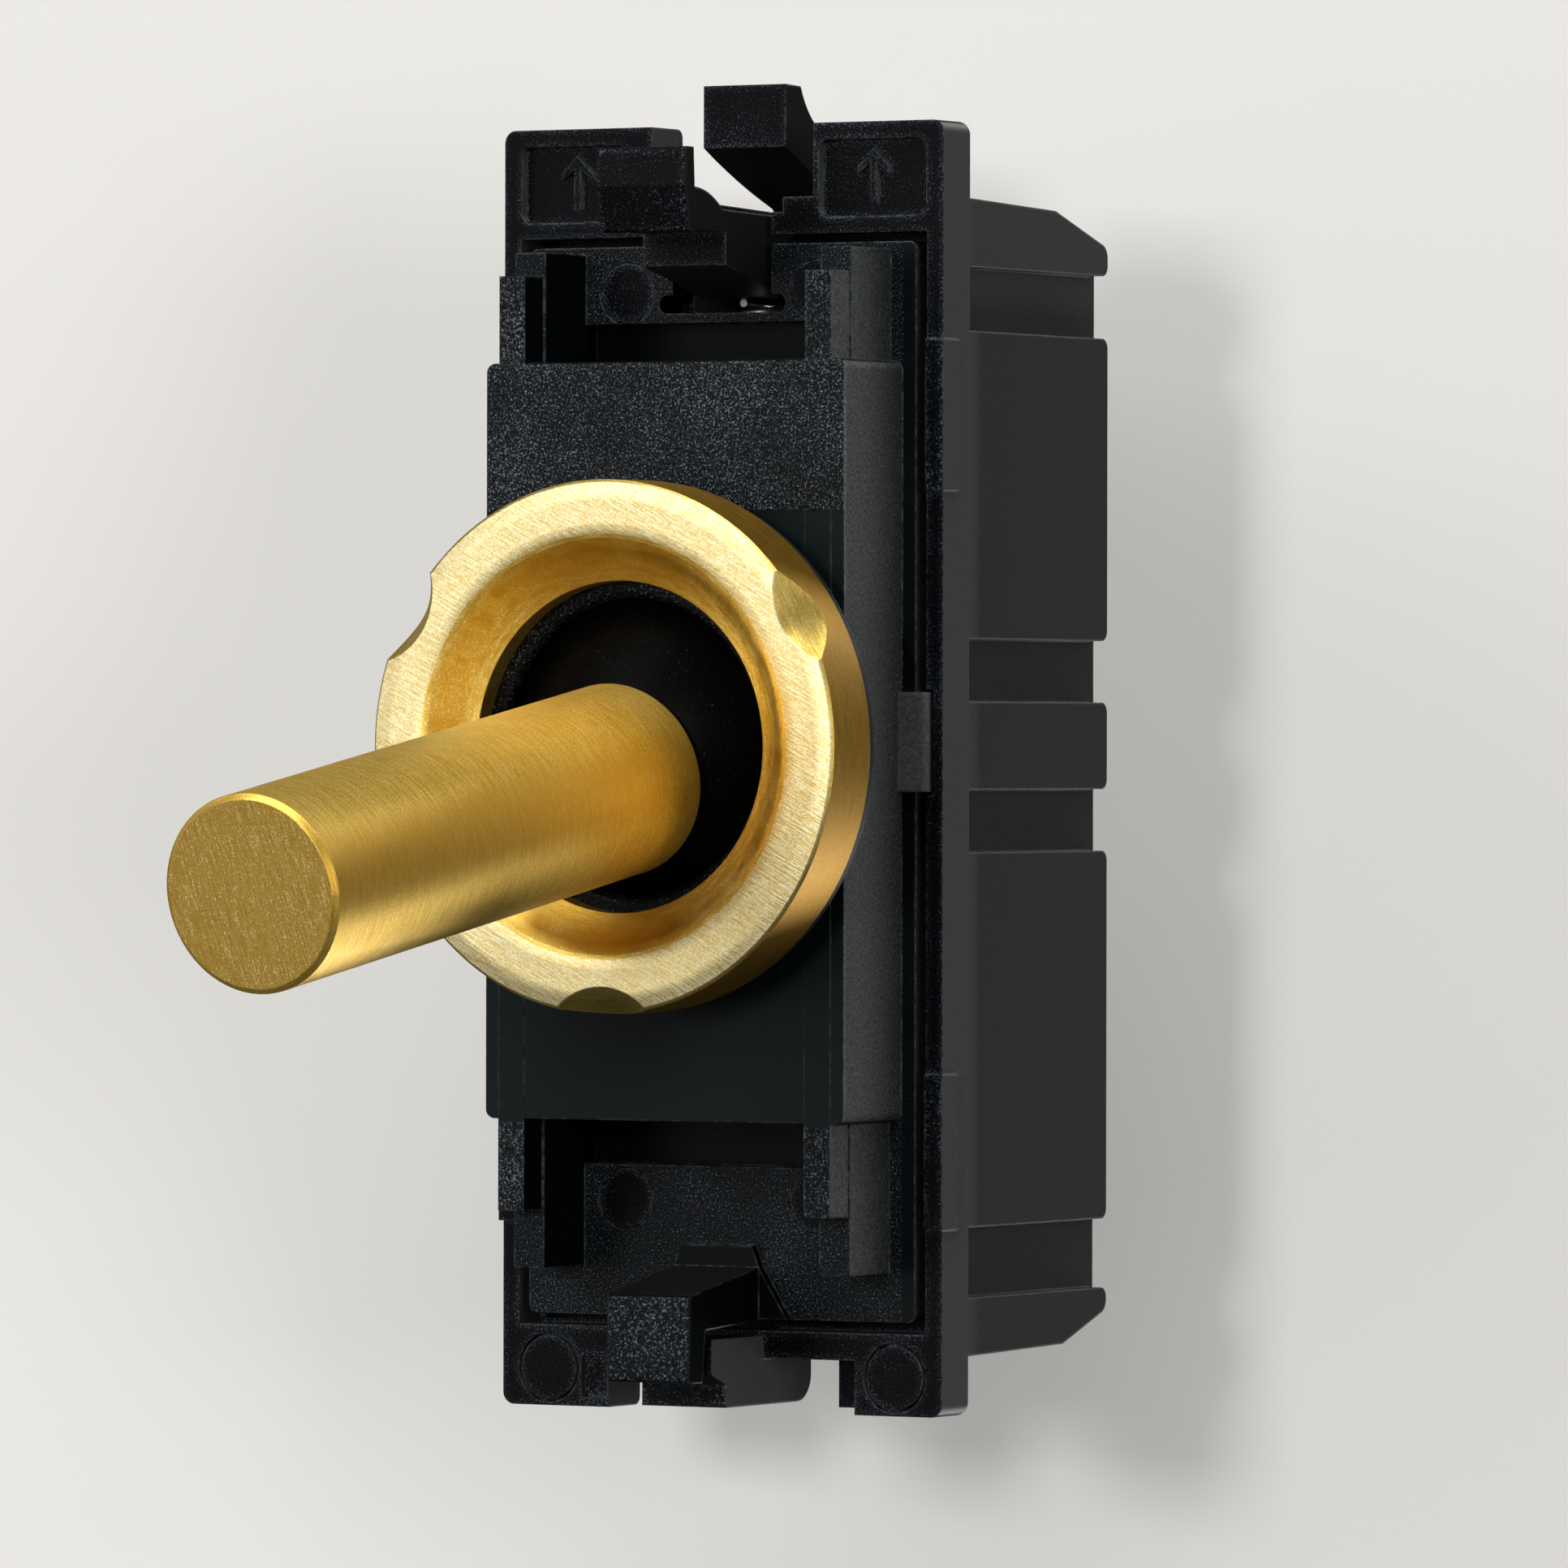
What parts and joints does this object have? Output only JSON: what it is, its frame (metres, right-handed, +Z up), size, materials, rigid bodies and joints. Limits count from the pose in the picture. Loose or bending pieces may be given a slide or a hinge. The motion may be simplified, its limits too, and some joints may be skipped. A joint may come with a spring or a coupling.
{
  "type": "toggle light switch",
  "caption": "Toggle light switch module for a grid frame: brass lever and ring nut on a black moulded body, with latch, rocker contact and terminals inside.",
  "frame": {"origin": "on the ring nut's axis, in the plane of the flange's front face", "axes": "+X to the right, +Y into the wall, +Z up; the lever points to -Y"},
  "size_m": [0.0248, 0.0595, 0.0628],
  "materials": {
    "housing_plastic": "smooth moulded, dark grey",
    "cover_plastic": "spark-textured, near black",
    "brass": "brushed",
    "dome_plastic": "smooth, black",
    "washer_fibre": "satin, black",
    "steel": "plated",
    "terminal_brass": "machined",
    "contact_copper": "pressed strip",
    "contact_silver": "silver alloy",
    "plunger_nylon": "smooth, off-white"
  },
  "bodies": {
    "module": {"housing": "housing_plastic", "cover": "cover_plastic", "pivot_pin": "steel", "rocker_pin": "steel", "latch_pin": "steel", "latch_spring": "steel", "terminal_upper": "terminal_brass", "terminal_lower": "terminal_brass", "terminal_common": "terminal_brass", "fixed_tip_upper": "contact_silver", "fixed_tip_lower": "contact_silver"},
    "toggle": {"lever": "brass", "lever_stem": "steel", "lever_dome": "dome_plastic", "plunger": "plunger_nylon", "plunger_spring": "steel"},
    "rocker": {"rocker_blade": "contact_copper", "rocker_tip_upper": "contact_silver", "rocker_tip_lower": "contact_silver"},
    "latch_lever": {"latch": "cover_plastic"},
    "washer": {"ring_washer": "washer_fibre"},
    "ring": {"nut_ring": "brass"},
    "upper_screw": {"screw_upper": "steel"},
    "common_screw": {"screw_common": "steel"},
    "lower_screw": {"screw_lower": "steel"}
  },
  "joints": [
    {"name": "toggle_swing", "type": "hinge", "parent": "module", "child": "toggle", "pos_m": [0, -0.00022, 0], "axis": [-1, 0, 0], "range_deg": [0, 18.16]},
    {"name": "rocker_swing", "type": "hinge", "parent": "module", "child": "rocker", "pos_m": [0, 0.0114, 0], "axis": [1, 0, 0], "range_deg": [0, 16]},
    {"name": "latch_swing", "type": "hinge", "parent": "module", "child": "latch_lever", "pos_m": [0, 0.0065, 0.0226], "axis": [1, 0, 0], "range_deg": [0, 7.5], "stiffness_Nm_per_rad": 0.5, "springref_deg": -5.73, "deforming": ["latch_spring"]},
    {"name": "ring_travel", "type": "slide", "parent": "module", "child": "washer", "axis": [0, -1, 0], "range_m": [0, 0.00225]},
    {"name": "ring_turn", "type": "hinge", "parent": "washer", "child": "ring", "pos_m": [0, -0.0093, 0], "axis": [0, -1, 0], "range_deg": [0, 1080]},
    {"name": "upper_screw_turn", "type": "hinge", "parent": "module", "child": "upper_screw", "pos_m": [-0.0087, 0.01275, 0.0144], "axis": [-1, 0, 0], "continuous": true},
    {"name": "common_screw_turn", "type": "hinge", "parent": "module", "child": "common_screw", "pos_m": [-0.0087, 0.01275, -0.0074], "axis": [-1, 0, 0], "continuous": true},
    {"name": "lower_screw_turn", "type": "hinge", "parent": "module", "child": "lower_screw", "pos_m": [-0.0087, 0.01275, -0.0144], "axis": [-1, 0, 0], "continuous": true}
  ],
  "couplings": [
    {"joint": "rocker_swing", "follows": "toggle_swing", "ratio": 0.881},
    {"joint": "ring_travel", "follows": "ring_turn", "m_per_rad": 0.00011936}
  ]
}
